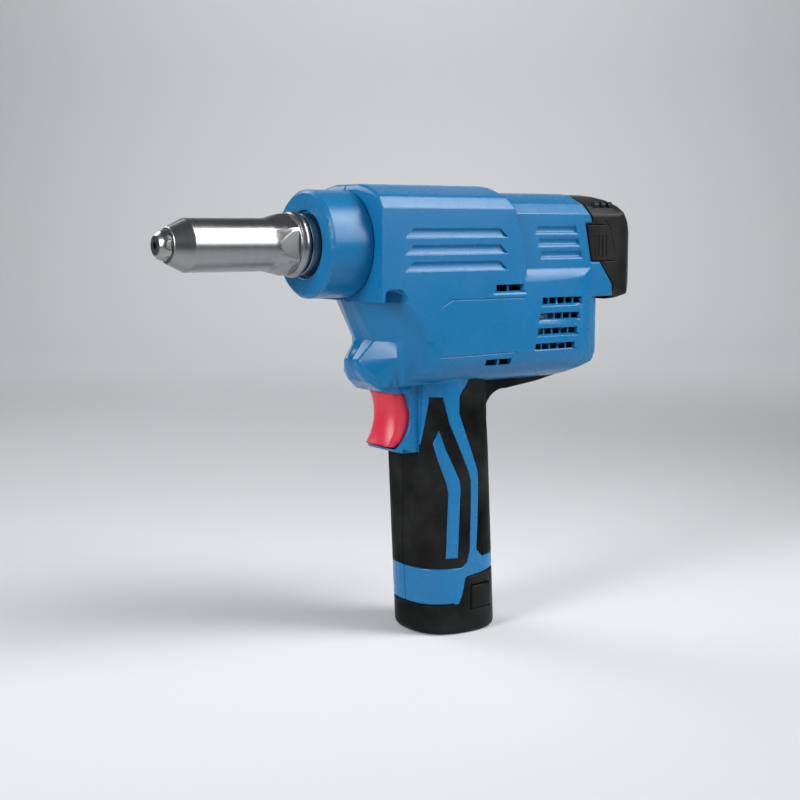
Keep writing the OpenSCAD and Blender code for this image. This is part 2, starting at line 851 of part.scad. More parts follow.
module shell_form() {
  difference() {
    union() {
      difference() {
        body_form();
        body_cavity();
      }
      ribs();
      shelf();
      bosses();
      board_shelf();
      overhang_floor();
    }
    side_grooves();
    vents();
    label_lines();
    roof_scallops();
    overhang_notch();
    screw_holes();
    trigger_slot();
    intersection() {
      grip_skin();
      union() {
        front_pad_region();
        rear_pad_region();
      }
    }
    side_plate(below(foot_edge, 0), half_w + 1);
    // Front opening round the gear housing, mandrel tube outlet and switch wires
    rod(gear_bowl_r + seat_gap, x_body - 1, x_front_plate);
    rod(tube_r + 2, x_seam - 14, x_seam + 14);
    translate([handle_x + 16, 0, shelf_z - shelf_t - 1]) cylinder(r = 3, h = shelf_t + 2);
  }
}

module left_housing() {
  color(body_blue) intersection() {
    shell_form();
    half_space(-1);
  }
}

module right_housing() {
  color(body_blue) intersection() {
    shell_form();
    half_space(1);
  }
}

module grip_pad(s, front) {
  color(soft_black) intersection() {
    difference() {
      grip_skin();
      side_plate(below(foot_edge, -0.2), half_w + 1);
    }
    if (front) front_pad_region(0.05);
    else rear_pad_region(0.05);
    half_space(s);
  }
}

module left_front_grip() grip_pad(-1, true);
module left_rear_grip() grip_pad(-1, false);
module right_front_grip() grip_pad(1, true);
module right_rear_grip() grip_pad(1, false);

// Nose

module front_collar() {
  r = collar_d / 2;
  bore = gear_bowl_r + seat_gap;
  mouth = nose_flange_d / 2 + slide_gap;
  lip = 1.2;
  color(body_blue) turned([
    [x_collar, mouth], [x_collar, r - collar_chamfer], [x_collar + collar_chamfer, r], [x_body, r],
    [x_body, bore], [x_body - 9, bore], [x_flange_end + lip, neck_r + seat_gap],
    [x_flange_end, neck_r + seat_gap], [x_flange_end, mouth]
  ]);
}

module nose_housing() {
  r = nose_d / 2;
  flange_r = nose_flange_d / 2;
  root_r = flange_r - 1.2;
  flat = r + 0.7;
  bead = 3;
  bead_end = x_flange + 2 * bead;
  neck_bore = neck_r + press_gap;
  thread_end = x_barrel + thread_len;
  color(bright_alloy) difference() {
    turned(concat(
      [[x_cone, nosepiece_r], [x_cone, nose_tip_d / 2], [x_barrel, r], [x_flare, r],
       [x_flare + nose_flare_len * 0.7, root_r], [x_flange, root_r], [x_flange + 0.6, flange_r - bead + 2]],
      arc(x_flange + bead, flange_r - bead, bead, 150, 0, 6),
      [[bead_end, flange_r - 1], [x_flange_end, flange_r - 1], [x_flange_end, neck_bore],
       [x_neck - 1, neck_bore], [x_neck - 1, nose_bore_r], [thread_end, nose_bore_r],
       [thread_end, nosepiece_r]]
    ));
    for (k = [0 : 5]) rotate([60 * k + 30, 0, 0])
      translate([x_flare + 1.2, -flange_r, flat]) cube([nose_flare_len - 1.2, 2 * flange_r, flange_r]);
  }
}

module nosepiece() {
  head = 6.4;
  front = 4.4;
  hex_r = 6.3 / cos(30);
  tail = jaw_x + jaw_lip + 1.2;
  color(dark_steel) difference() {
    union() {
      intersection() {
        turned([[0, 0], [0, front], [1.6, head - 0.5], [2.6, head], [x_cone, head + 0.4], [x_cone, 0]]);
        rod6(hex_r, 0, x_cone);
      }
      rod(nosepiece_r - press_gap, x_cone - eps, x_barrel + thread_len);
      rod(jaw_small_r - 1.6, x_barrel + thread_len - eps, tail);
    }
    rod(mandrel_bore_d / 2, -1, tail + 1);
  }
}

module rod6(r, x0, x1) {
  translate([x0, 0, 0]) rotate([0, 90, 0]) cylinder(r = r, h = x1 - x0, $fn = 6);
}

// Jaw case with its tapered seat, jaws, pusher and spring

module jaw_case() {
  taper = tan(jaw_angle);
  mouth = jaw_small_r - 1;
  seat_x = jaw_x + jaw_lip;
  bore = jaw_big_r + jaw_gap + taper * 2;
  color(dark_steel) turned([
    [jaw_x, mouth], [jaw_x, jaw_case_r - 1], [jaw_x + 1, jaw_case_r], [jaw_x + jaw_case_len, jaw_case_r],
    [jaw_x + jaw_case_len, screw_r - 1 + press_gap], [x_screw, screw_r - 1 + press_gap], [x_screw, bore],
    [seat_x + jaw_len + 2, bore], [seat_x, jaw_small_r + jaw_gap]
  ]);
}

// One third of the gripping cone, parted from its neighbours by a slit
module jaw(k) {
  x0 = jaw_x + jaw_lip + 1.6;
  x1 = x0 + jaw_len - 2;
  grip_r = mandrel_bore_d / 2 + 0.25;
  taper = tan(jaw_angle);
  wedge = mirrored([[eps, jaw_slit / 2 / sin(60)], [20 * sin(60), 20 * cos(60)], [eps, 40]]);
  color(bright_steel) rotate([120 * k, 0, 0]) intersection() {
    turned([[x0, grip_r], [x0, jaw_small_r + 1.6 * taper], [x1, jaw_small_r + (jaw_len - 0.4) * taper],
      [x1, grip_r + 1.4], [x1 - 3, grip_r]]);
    across(x0 - 1, x1 + 1) polygon(wedge);
  }
}

module jaw_1() jaw(0);
module jaw_2() jaw(1);
module jaw_3() jaw(2);

x_pusher = jaw_x + jaw_lip + jaw_len;
pusher_r = jaw_big_r - 0.2;

module jaw_pusher() {
  grip_r = mandrel_bore_d / 2 + 0.4;
  hub_r = pusher_r - 2.4;
  x_hub = x_pusher + pusher_len;
  x_hub_end = x_hub + 2;
  color(brass_tone) turned([
    [x_pusher, grip_r], [x_pusher, pusher_r], [x_hub, pusher_r], [x_hub, hub_r], [x_hub_end, hub_r],
    [x_hub_end, grip_r]
  ]);
}

// Helical wire of the pusher spring
spring_steps = 12;
spring_sides = 6;
spring_r = pusher_r - spring_wire / 2 - 0.1;
x_spring = x_pusher + pusher_len + spring_wire / 2 + 0.1;
spring_len = x_screw - x_spring - spring_wire / 2 - 0.1;

function coil_point(i, j) =
  let (t = 360 * i / spring_steps, u = 360 * j / spring_sides,
       r = spring_r + spring_wire / 2 * cos(u),
       x = x_spring + spring_len * i / (spring_steps * spring_turns) + spring_wire / 2 * sin(u))
    [x, r * cos(t), r * sin(t)];

module jaw_spring() {
  rings = spring_steps * spring_turns;
  color(bright_steel) polyhedron(
    [for (i = [0 : rings]) for (j = [0 : spring_sides - 1]) coil_point(i, j)],
    concat(
      [for (i = [0 : rings - 1]) for (j = [0 : spring_sides - 1]) for (f = [0, 1])
        let (a = i * spring_sides + j, b = i * spring_sides + (j + 1) % spring_sides)
          f == 0 ? [a, b, a + spring_sides] : [b, b + spring_sides, a + spring_sides]],
      [for (j = [1 : spring_sides - 2]) [0, j + 1, j]],
      [for (j = [1 : spring_sides - 2]) let (e = rings * spring_sides) [e, e + j, e + j + 1]]
    )
  );
}

// Pull screw and what rides on it

module pull_screw() {
  color(bright_steel) difference() {
    union() {
      rod(screw_r - 1, x_screw, x_screw + screw_stub + 1);
      rod(screw_r, x_screw + screw_stub + press_gap, x_slider);
      rod(screw_r - 1.5, x_slider - eps, x_slider + slider_len);
    }
    rod(screw_bore_d / 2, x_screw - 1, x_slider + slider_len + 1);
    rod(tube_r + press_gap, x_tube, x_slider + slider_len + 1);
  }
}

module guide_slider() {
  color(dark_steel) difference() {
    union() {
      rod(sleeve_r - sleeve_wall - slide_gap, x_slider + press_gap, x_slider + slider_len);
      translate([x_slider + press_gap, -sleeve_r + 0.4, -slider_wing / 2])
        cube([slider_len - press_gap, 2 * sleeve_r - 0.8, slider_wing]);
    }
    rod(screw_r - 1.5 + press_gap, x_slider - 1, x_slider + slider_len + 1);
  }
}

module guide_sleeve() {
  color(dark_steel) difference() {
    tube(sleeve_r, sleeve_r - sleeve_wall, x_sleeve, x_sleeve + sleeve_len);
    translate([x_slider - 1.5, -sleeve_r - 1, -slider_wing / 2 - slide_gap])
      cube([slider_len + stroke + 3, 2 * sleeve_r + 2, slider_wing + 2 * slide_gap]);
  }
}

module mandrel_tube() {
  color(bright_steel) tube(tube_r, screw_bore_d / 2, x_tube + eps, tube_end);
}

// Ball nut, its gear and bearings

module ball_nut() {
  color(dark_steel) difference() {
    union() {
      rod(journal_r, x_front_bearing + 0.3, x_ring - 0.7);
      rod(journal_r + 2, x_gear - 2, x_gear);
    }
    rod(screw_r + run_gap, x_front_bearing - 1, x_ring + 1);
  }
}

module nut_gear() {
  color(bright_steel)
    gear(nut_teeth, gear_module, x_gear + press_gap, x_gear + gear_face, 0, 0, journal_r + press_gap);
}

module ring_bearing(x, z, r_in, r_out, w) {
  groove_r = (r_in + r_out) / 2;
  groove_half = w / 6;
  groove_t = 1;
  color(bright_steel) difference() {
    tube(r_out, r_in, x, x + w, z);
    for (e = [x, x + w - groove_t])
      tube(groove_r + groove_half, groove_r - groove_half, e - eps, e + groove_t + eps, z);
  }
}

module nut_front_bearing() ring_bearing(x_front_bearing, 0, journal_r + run_gap, bearing_r, bearing_w);
module nut_rear_bearing() ring_bearing(x_rear_plate, 0, journal_r + run_gap, bearing_r, bearing_w);
module pinion_bearing()
  ring_bearing(x_front_plate, -axis_gap, pinion_shaft_r + run_gap, pinion_bearing_r, plate_t);

// Plate outline round both axes
module gear_plate(r_top, r_low) {
  circle(r = r_top);
  translate([0, -axis_gap]) circle(r = r_low);
  translate([-r_low, -axis_gap]) square([2 * r_low, axis_gap]);
}

module gear_housing_front() {
  color(bright_steel) difference() {
    union() {
      rod(neck_r, x_neck, x_body - 8);
      rod(gear_bowl_r, x_body - 8.6, x_front_plate);
      across(x_front_plate - eps, x_front_plate + plate_t) gear_plate(gear_bowl_r, pinion_bearing_r + 2.4);
    }
    rod(nose_bore_r, x_neck - 1, x_front_plate + plate_t + 1);
    rod(bearing_r + press_gap, x_front_bearing, x_front_plate + plate_t + 1);
    rod(pinion_bearing_r + press_gap, x_front_plate - 1, x_front_plate + plate_t + 1, -axis_gap);
  }
}

module gear_housing_rear() {
  color(bright_steel) difference() {
    across(x_rear_plate, x_ring) gear_plate(gear_bowl_r, ring_outer_r);
    rod(bearing_r + press_gap, x_rear_plate - 1, x_ring + 1);
    rod(pinion_shaft_r + 1, x_rear_plate - 1, x_ring + 1, -axis_gap);
  }
}

module rear_bulkhead() {
  hub_r = tube_r + 3;
  color(hard_black) difference() {
    union() {
      rod(bulkhead_r, x_bulkhead + press_gap, x_bulkhead + bulkhead_t);
      rod(hub_r, x_bulkhead - 4, x_bulkhead + bulkhead_t);
    }
    rod(tube_r + run_gap, x_bulkhead - 5, x_bulkhead + bulkhead_t + 1);
  }
}

// Planetary stage

module planet_carrier() {
  color(dark_steel) {
    rod(pinion_shaft_r, x_front_plate + 0.2, x_carrier + eps, -axis_gap);
    rod(planet_orbit + 3, x_carrier, x_carrier + carrier_t, -axis_gap);
    for (k = [0 : 2])
      let (a = 90 + 120 * k, y = planet_orbit * cos(a), z = planet_orbit * sin(a) - axis_gap)
      rod(planet_pin_r, x_carrier + carrier_t - eps, x_planet + planet_face, z, y);
  }
}

module drive_pinion() {
  color(bright_steel)
    gear(pinion_teeth, gear_module, x_gear, x_gear + gear_face, -axis_gap, 0, pinion_shaft_r + press_gap);
}

module planet(k) {
  a = 90 + 120 * k;
  color(bright_steel) gear(planet_teeth, planet_module, x_planet, x_planet + planet_face,
    -axis_gap + planet_orbit * sin(a), a + 180 - 180 / planet_teeth + a * sun_teeth / planet_teeth,
    planet_pin_r + run_gap, planet_orbit * cos(a));
}

module planet_1() planet(0);
module planet_2() planet(1);
module planet_3() planet(2);

module ring_gear() {
  color(dark_steel) difference() {
    rod(ring_outer_r, x_ring + press_gap, x_motor - press_gap, -axis_gap);
    across(x_ring - 1, x_motor + 1, -axis_gap) rotate(180 / ring_teeth)
      polygon(gear_points(ring_teeth, planet_module, 1.2, 0.9, -backlash));
  }
}

// Motor

module sun_gear() {
  color(bright_steel)
    gear(sun_teeth, planet_module, x_planet, x_planet + planet_face + 1, -axis_gap, 0, shaft_r + press_gap);
}

module rotor_shaft() {
  color(bright_steel) rod(shaft_r, x_planet, x_fan + fan_len, -axis_gap);
}

module rotor_core() {
  slots = 5;
  core_len = motor_len - 14;
  color(copper_tone) difference() {
    tube(core_r, shaft_r + press_gap, x_motor + 6, x_motor + 6 + core_len, -axis_gap);
    for (k = [0 : slots - 1]) translate([0, 0, -axis_gap]) rotate([360 * k / slots, 0, 0])
      translate([x_motor + 5, -0.8, core_r - 3.5]) cube([core_len + 2, 1.6, 5]);
  }
}

module commutator() {
  color(copper_tone) tube(shaft_r + 3, shaft_r + press_gap, x_motor_end - 6, x_motor_end + 4, -axis_gap);
}

module motor_can() {
  color(dark_steel) difference() {
    rod(motor_r, x_motor, x_motor_end, -axis_gap);
    rod(motor_r - can_wall, x_motor + 2, x_motor_end + 1, -axis_gap);
    rod(shaft_r + run_gap, x_motor - 1, x_motor + 3, -axis_gap);
  }
}

module motor_magnets() {
  color(hard_black) difference() {
    tube(motor_r - can_wall - press_gap, core_r + 0.6, x_motor + 4, x_motor_end - 6, -axis_gap);
    translate([x_motor, -4, -axis_gap - motor_r]) cube([motor_len, 8, motor_d]);
  }
}

module motor_end_cap() {
  color(hard_black) difference() {
    union() {
      rod(motor_r, x_motor_end + press_gap, x_motor_end + end_cap_len, -axis_gap);
      rod(motor_r - can_wall - seat_gap, x_motor_end - 4, x_motor_end + 1, -axis_gap);
    }
    rod(motor_r - can_wall - 4, x_motor_end - 5, x_motor_end + end_cap_len - 3, -axis_gap);
    rod(shaft_r + run_gap, x_motor_end - 5, x_motor_end + end_cap_len + 1, -axis_gap);
  }
}

module cooling_fan() {
  hub = shaft_r + 3;
  blade_t = 1.2;
  color(hard_black) difference() {
    union() {
      rod(fan_d / 2, x_fan, x_fan + 1.6, -axis_gap);
      rod(hub, x_fan, x_fan + fan_len, -axis_gap);
      for (k = [0 : fan_blades - 1]) translate([0, 0, -axis_gap]) rotate([360 * k / fan_blades, 0, 0])
        translate([x_fan + 1, -blade_t / 2, hub + 3]) cube([fan_len - 1, blade_t, fan_d / 2 - hub - 3.6]);
    }
    rod(shaft_r + press_gap, x_fan - 1, x_fan + fan_len + 1, -axis_gap);
  }
}

// Trigger, switch and electrics

trigger_side = [
  [trigger_back, trigger_low + 3], [trigger_back, trigger_top], [trigger_x - 8, trigger_top],
  [trigger_x - 8, trigger_low + 2], [trigger_x + 4, trigger_low + 0.2], [trigger_x + 9, trigger_low]
];

// The hollow front is turned about an upright axis, so it is round in plan as well
trigger_spool = concat(
  [[0, trigger_low - 1], [trigger_waist_r + 5, trigger_low - 1]],
  arc(trigger_waist_r + trigger_hollow, trigger_waist_z, trigger_hollow, 213, 156, 14),
  [[0, trigger_top + 1]]
);

module trigger() {
  color(trigger_red) difference() {
    intersection() {
      translate([trigger_axis, 0, 0]) rotate_extrude() polygon(trigger_spool);
      side_plate(trigger_side, trigger_w / 2);
    }
    rod(plunger_r + press_gap, trigger_back - 6, trigger_back + 1, plunger_z);
  }
}

module switch_plunger() {
  color(hard_black) rod(plunger_r, trigger_back - 6 + eps, x_switch + 4, plunger_z);
}

module trigger_switch() {
  color(hard_black) difference() {
    translate([x_switch, -switch_w / 2, shelf_z + seat_gap]) cube([switch_len, switch_w, switch_h]);
    rod(plunger_r + run_gap, x_switch - 1, x_switch + 5 + trigger_travel, plunger_z);
  }
}

module control_board() {
  board_w = 24;
  x0 = x_rib_motor_a + 8;
  x1 = x_rib_motor_b - 1;
  color(board_green) union() {
    translate([x0, -board_w / 2, board_z + press_gap]) cube([x1 - x0, board_w, board_t]);
    for (i = [0 : 2]) translate([x0 + 2 + i * (x1 - x0 - 4) / 3, -4, board_z + board_t]) cube([4, 8, 1.6]);
  }
}

module in_handle() {
  translate([handle_x, 0, handle_z]) rotate([0, -handle_lean, 0]) children();
}

module terminal_block() {
  color(brass_tone) intersection() {
    handle_form(handle_in + seat_gap);
    union() {
      translate([handle_x - 17, -12, shelf_z - shelf_t - block_t]) cube([34, 24, block_t - press_gap]);
      in_handle() for (i = [-1 : 1])
        translate([-blade_w / 2, i * blade_pitch - blade_t / 2, tower_top - handle_z - blade_reach])
          cube([blade_w, blade_t, blade_reach + block_t]);
    }
  }
}

// Battery: tower, base, cells and release buttons

module tower_prism(by, z0, z1) {
  in_handle() translate([0, 0, z0 - handle_z]) linear_extrude(height = z1 - z0)
    polygon(superellipse(handle_a - tower_by - by - tower_slim, handle_b - tower_by - by, handle_power));
}

module battery_tower() {
  color(hard_black) difference() {
    tower_prism(0, tower_foot, tower_top);
    tower_prism(tower_wall, tower_foot - 1, tower_top - tower_cap_t);
    in_handle() for (i = [-1 : 1])
      translate([-blade_w / 2 - 1, i * blade_pitch - 1, tower_top - handle_z - tower_cap_t - 1])
        cube([blade_w + 2, 2, tower_cap_t + 2]);
  }
}

module battery_cells() {
  step = cell_d / sqrt(3) + 0.1;
  color(cell_grey) in_handle() for (k = [0 : 2]) let (a = 60 + 120 * k)
    translate([cell_shift + step * cos(a), step * sin(a), cell_low - handle_z])
      cylinder(r = cell_d / 2, h = cell_len);
}

module battery_base() {
  color(hard_black) difference() {
    intersection() {
      handle_column(0, 0);
      side_plate(below(foot_edge, slide_gap), half_w);
      translate([handle_x - 60, -half_w, foot_z]) cube([120, body_w, 60]);
    }
    // Socket for the tower and the cells, open upward
    tower_prism(-seat_gap, tower_foot - seat_gap, tower_top);
    for (s = [-1, 1]) button_block(s, button_gap, tower_by);
  }
}

// Block round a release button, down to an inset from the handle's surface
module button_block(s, grow, by) {
  difference() {
    translate([button_x, s * handle_b, button_z]) rotate([90, 0, 0])
      linear_extrude(height = handle_b, center = true)
        square([button_w + 2 * grow, button_h + 2 * grow], center = true);
    handle_column(by, 0);
  }
}

module battery_button(s) {
  color(hard_black) intersection() {
    button_block(s, 0, tower_by - slide_gap - button_travel);
    handle_column(-button_proud, 0);
  }
}

module left_battery_button() battery_button(-1);
module right_battery_button() battery_button(1);

// Collector cap with its latches

cap_half_w = rear_half_w - 0.3;
cap_low = -28.5;
cap_top = rear_top - 0.4;
cap_round = 16;

cap_section = mirrored(concat(
  [[roof_flat, cap_top], [roof_break, cap_top - 1], [cap_half_w - chamfer_in, cap_top - chamfer_drop],
   [cap_half_w, shoulder - step_in - 0.4]],
  arc(cap_half_w - 7, cap_low + 7, 7, 0, -90, 4)
));

cap_plan = concat(
  [[x_seam - 30, -cap_half_w]], arc(x_end - cap_round, -cap_half_w + cap_round, cap_round, -90, 0, 6),
  arc(x_end - cap_round, cap_half_w - cap_round, cap_round, 0, 90, 6), [[x_seam - 30, cap_half_w]]
);

cap_side = concat(
  [for (p = seam) p + [slide_gap, 0]],
  [[x_end - 16, -29], [x_end - 8, cap_low + 3], [x_end - 3, -19], [x_end, -6], [x_end - 1.2, 2],
   [x_end - 9.4, 12.6], [x_end - 17.4, cap_top - 2.4], [x_end - 27, cap_top], [x_end - 30, body_top + 2]]
);

latch_t = 2.6;
latch_pin_r = 1;
x_latch_pin = x_latch + latch_len * 0.86;
latch_y = cap_half_w - latch_t / 2 + 0.5;

module cap_form(by = 0) {
  intersection() {
    section_bar(cap_section, x_seam - 14, x_end + 1, by);
    plan_block(cap_plan, cap_low - 5, body_top, by);
    side_plate(cap_side, half_w, by);
  }
}

module cap_cavity() {
  intersection() {
    section_bar(cap_section, x_seam - 20, x_end, cap_wall);
    plan_block(cap_plan, cap_low - 5, body_top, cap_wall);
    side_plate(concat([[x_seam - 20, cap_low], [x_seam - 20, body_top]],
      [for (i = [len(cap_side) - 1 : -1 : len(seam)]) cap_side[i]]), half_w, cap_wall);
  }
}

module latch_outline(grow) {
  h = latch_h / 2;
  offset(delta = grow) polygon([[x_latch, h], [x_latch + latch_len, h],
    [x_latch + latch_len + latch_slant, -h + 4], [x_latch + latch_len + latch_slant, -h],
    [x_latch + latch_slant, -h]]);
}

x_bump = x_seam + 3.8;
bump_r = 1.7;
bump_len = 2.6;
bump_pitch = 4.6;

module collector_cap() {
  color(hard_black) difference() {
    union() {
      cap_form();
      for (i = [0 : 2]) for (s = [-1, 1])
        translate([x_bump + i * bump_pitch, s * (cap_half_w - chamfer_in), cap_top - chamfer_drop])
          rotate([0, 90, 0]) cylinder(r = bump_r, h = bump_len);
    }
    cap_cavity();
    for (s = [-1, 1]) translate([0, s * (cap_half_w - 1), 0]) rotate([90, 0, 0])
      linear_extrude(height = 8, center = true) latch_outline(latch_gap);
    for (s = [-1, 1]) translate([x_latch_pin, s * latch_y, -latch_h / 2 - 2.2])
      cylinder(r = latch_pin_r + run_gap, h = latch_h + 4.4);
  }
}

latch_ribs = 4;
latch_rib_pitch = 2.6;

module cap_latch(s) {
  color(hard_black) union() {
    intersection() {
      translate([0, s * latch_y, 0]) rotate([90, 0, 0])
        linear_extrude(height = latch_t, center = true) latch_outline(0);
      cap_reach();
    }
    translate([x_latch_pin, s * latch_y, -latch_h / 2 - 1.8]) cylinder(r = latch_pin_r, h = latch_h + 3.6);
    for (i = [0 : latch_ribs - 1])
      translate([x_latch + 6 + i * latch_rib_pitch, s * (latch_y + latch_t / 2), -1])
        cube([1, 1, latch_h - 7], center = true);
  }
}

// Room behind the seam in which the latch may lie
module cap_reach() {
  behind = [[x_end, -29], [x_end, body_top + 2]];
  side_plate(concat([for (p = seam) p + [slide_gap, 0]], behind), half_w + 2);
}

module left_cap_latch() cap_latch(-1);
module right_cap_latch() cap_latch(1);

// Shell screws, entered from the right side

module housing_screws() {
  tip = 8;
  color(dark_steel) for (p = screw_sites) translate([p[0], 0, p[1]]) rotate([90, 0, 0]) difference() {
    union() {
      translate([0, 0, -screw_seat - 0.5]) cylinder(r = screw_hole_r, h = screw_seat + tip);
      translate([0, 0, -screw_seat - screw_head_t])
        cylinder(r = screw_head_r, h = screw_head_t - press_gap);
    }
    translate([0, 0, -screw_seat - screw_head_t - 1]) cylinder(r = 1.3, h = 2.2, $fn = 6);
  }
}

left_housing();
right_housing();
left_front_grip();
left_rear_grip();
right_front_grip();
right_rear_grip();
front_collar();
nose_housing();
nosepiece();
jaw_case();
jaw_1();
jaw_2();
jaw_3();
jaw_pusher();
jaw_spring();
pull_screw();
guide_slider();
mandrel_tube();
ball_nut();
nut_gear();
nut_front_bearing();
nut_rear_bearing();
gear_housing_front();
gear_housing_rear();
guide_sleeve();
rear_bulkhead();
planet_carrier();
drive_pinion();
pinion_bearing();
planet_1();
planet_2();
planet_3();
ring_gear();
sun_gear();
rotor_shaft();
rotor_core();
commutator();
cooling_fan();
motor_can();
motor_magnets();
motor_end_cap();
trigger();
switch_plunger();
trigger_switch();
control_board();
terminal_block();
battery_tower();
battery_base();
battery_cells();
left_battery_button();
right_battery_button();
collector_cap();
left_cap_latch();
right_cap_latch();
housing_screws();
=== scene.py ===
import json
import math

import bmesh
import bpy
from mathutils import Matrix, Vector
from mathutils.bvhtree import BVHTree
from mathutils.kdtree import KDTree


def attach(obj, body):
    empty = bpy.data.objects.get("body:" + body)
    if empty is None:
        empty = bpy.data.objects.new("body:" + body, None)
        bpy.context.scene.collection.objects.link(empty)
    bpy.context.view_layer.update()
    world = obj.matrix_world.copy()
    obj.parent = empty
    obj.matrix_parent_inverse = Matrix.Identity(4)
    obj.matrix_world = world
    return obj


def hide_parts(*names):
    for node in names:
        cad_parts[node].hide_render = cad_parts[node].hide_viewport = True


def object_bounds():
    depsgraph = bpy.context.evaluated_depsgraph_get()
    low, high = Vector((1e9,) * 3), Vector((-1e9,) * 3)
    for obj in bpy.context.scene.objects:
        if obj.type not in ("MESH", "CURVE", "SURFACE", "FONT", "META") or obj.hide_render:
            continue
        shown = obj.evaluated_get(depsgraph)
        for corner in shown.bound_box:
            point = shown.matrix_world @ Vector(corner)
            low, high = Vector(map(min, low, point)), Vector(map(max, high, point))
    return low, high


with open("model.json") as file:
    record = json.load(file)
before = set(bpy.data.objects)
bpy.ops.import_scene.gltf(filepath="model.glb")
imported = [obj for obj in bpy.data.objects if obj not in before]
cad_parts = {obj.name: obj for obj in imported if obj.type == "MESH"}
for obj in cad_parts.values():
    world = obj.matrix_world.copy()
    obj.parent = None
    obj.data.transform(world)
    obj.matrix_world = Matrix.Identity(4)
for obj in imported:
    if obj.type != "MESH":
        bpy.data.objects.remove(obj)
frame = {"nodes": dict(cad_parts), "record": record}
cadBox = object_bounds()
nodes = frame["nodes"]
bodyOf = {n: b for b, members in frame["record"]["behaviour"]["bodies"].items() for n in members}
slotOf = {p["node"]: p["material_slot"] for p in frame["record"]["subparts"]}
scene = bpy.context.scene
print("frame loaded:", len(nodes), "nodes")

# camera at the photograph's angle
camSet = {
    "place": (-0.2633, -0.5508, 0.0080),
    "target": (0.1268, 0.0, -0.0746),
    "lens": 63.79,
    "sensor": 36.0,
    "near": 0.01,
    "far": 20,
}


def makeCamera(spec):
    data = bpy.data.cameras.new("photoCamera")
    data.lens = spec["lens"]
    data.sensor_width = spec["sensor"]
    cam = bpy.data.objects.new("photoCamera", data)
    cam.location = spec["place"]
    look = Vector(spec["target"]) - cam.location
    cam.rotation_mode = "QUATERNION"
    cam.rotation_quaternion = look.to_track_quat("-Z", "Y")
    data.clip_start = spec["near"]
    data.clip_end = spec["far"]
    scene.collection.objects.link(cam)
    scene.camera = cam


makeCamera(camSet)
scene.view_settings.view_transform = "Standard"


# colour helpers
def shade(r, g, b):
    def lin(v):
        v /= 255
        return v / 12.92 if v <= 0.04045 else ((v + 0.055) / 1.055) ** 2.4
    return (lin(r), lin(g), lin(b), 1.0)


def lighter(colour, by):
    return tuple(c + (1 - c) * by for c in colour[:3]) + (1.0,)


def darker(colour, by):
    return tuple(c * (1 - by) for c in colour[:3]) + (1.0,)


# shader node helpers
def put(tree, kind, x=0, y=0, **settings):
    node = tree.nodes.new(kind)
    node.location = (x, y)
    for key, value in settings.items():
        setattr(node, key, value)
    return node


def fill(node, **values):
    for label, value in values.items():
        node.inputs[label.replace("_", " ")].default_value = value
    return node


def maths(tree, how, a, b=None, c=None, clamp=False):
    node = put(tree, "ShaderNodeMath", operation=how, use_clamp=clamp)
    for socket, value in zip(node.inputs, (a, b, c)):
        if value is None:
            continue
        if isinstance(value, (int, float)):
            socket.default_value = value
        else:
            tree.links.new(value, socket)
    return node.outputs[0]


def remap(tree, value, low, high, toLow, toHigh):
    node = put(tree, "ShaderNodeMapRange")
    tree.links.new(value, node.inputs["Value"])
    for label, number in (("From Min", low), ("From Max", high), ("To Min", toLow), ("To Max", toHigh)):
        node.inputs[label].default_value = number
    return node.outputs["Result"]


def blendColour(tree, mask, first, second):
    node = put(tree, "ShaderNodeMix", data_type="RGBA")
    ports = [s for s in node.inputs if s.type == "RGBA"]
    if isinstance(mask, (int, float)):
        node.inputs[0].default_value = mask
    else:
        tree.links.new(mask, node.inputs[0])
    for socket, value in zip(ports, (first, second)):
        if isinstance(value, tuple):
            socket.default_value = value
        else:
            tree.links.new(value, socket)
    return [s for s in node.outputs if s.type == "RGBA"][0]


def newGroup(name, inputs, outputs):
    tree = bpy.data.node_groups.new(name, "ShaderNodeTree")
    for label, value in inputs.items():
        socket = tree.interface.new_socket(label, in_out="INPUT", socket_type="NodeSocketFloat")
        socket.default_value = value
    for label in outputs:
        tree.interface.new_socket(label, in_out="OUTPUT", socket_type="NodeSocketFloat")
    return tree, put(tree, "NodeGroupInput", -800).outputs, put(tree, "NodeGroupOutput", 800).inputs


def useGroup(tree, group, **values):
    node = put(tree, "ShaderNodeGroup")
    node.node_tree = group
    return fill(node, **values).outputs


# moulded grain: the fine pits that a spark eroded mould leaves, and a slow drift of tone
def makeGrain():
    tree, given, out = newGroup("mouldGrain", {"Scale": 2600.0, "Drift": 26.0}, ("Height", "Tone"))
    place = put(tree, "ShaderNodeTexCoord").outputs["Object"]
    noise = fill(put(tree, "ShaderNodeTexNoise"), Detail=3.0, Roughness=0.6)
    pits = put(tree, "ShaderNodeTexVoronoi", feature="SMOOTH_F1")
    drift = fill(put(tree, "ShaderNodeTexNoise"), Detail=4.0, Roughness=0.55)
    for tex, port in ((noise, given["Scale"]), (pits, given["Scale"]), (drift, given["Drift"])):
        tree.links.new(place, tex.inputs["Vector"])
        tree.links.new(port, tex.inputs["Scale"])
    height = maths(tree, "MULTIPLY_ADD", pits.outputs["Distance"], 0.7, noise.outputs["Fac"])
    tree.links.new(height, out["Height"])
    tree.links.new(remap(tree, drift.outputs["Fac"], 0.3, 0.7, 0.0, 1.0), out["Tone"])
    return tree


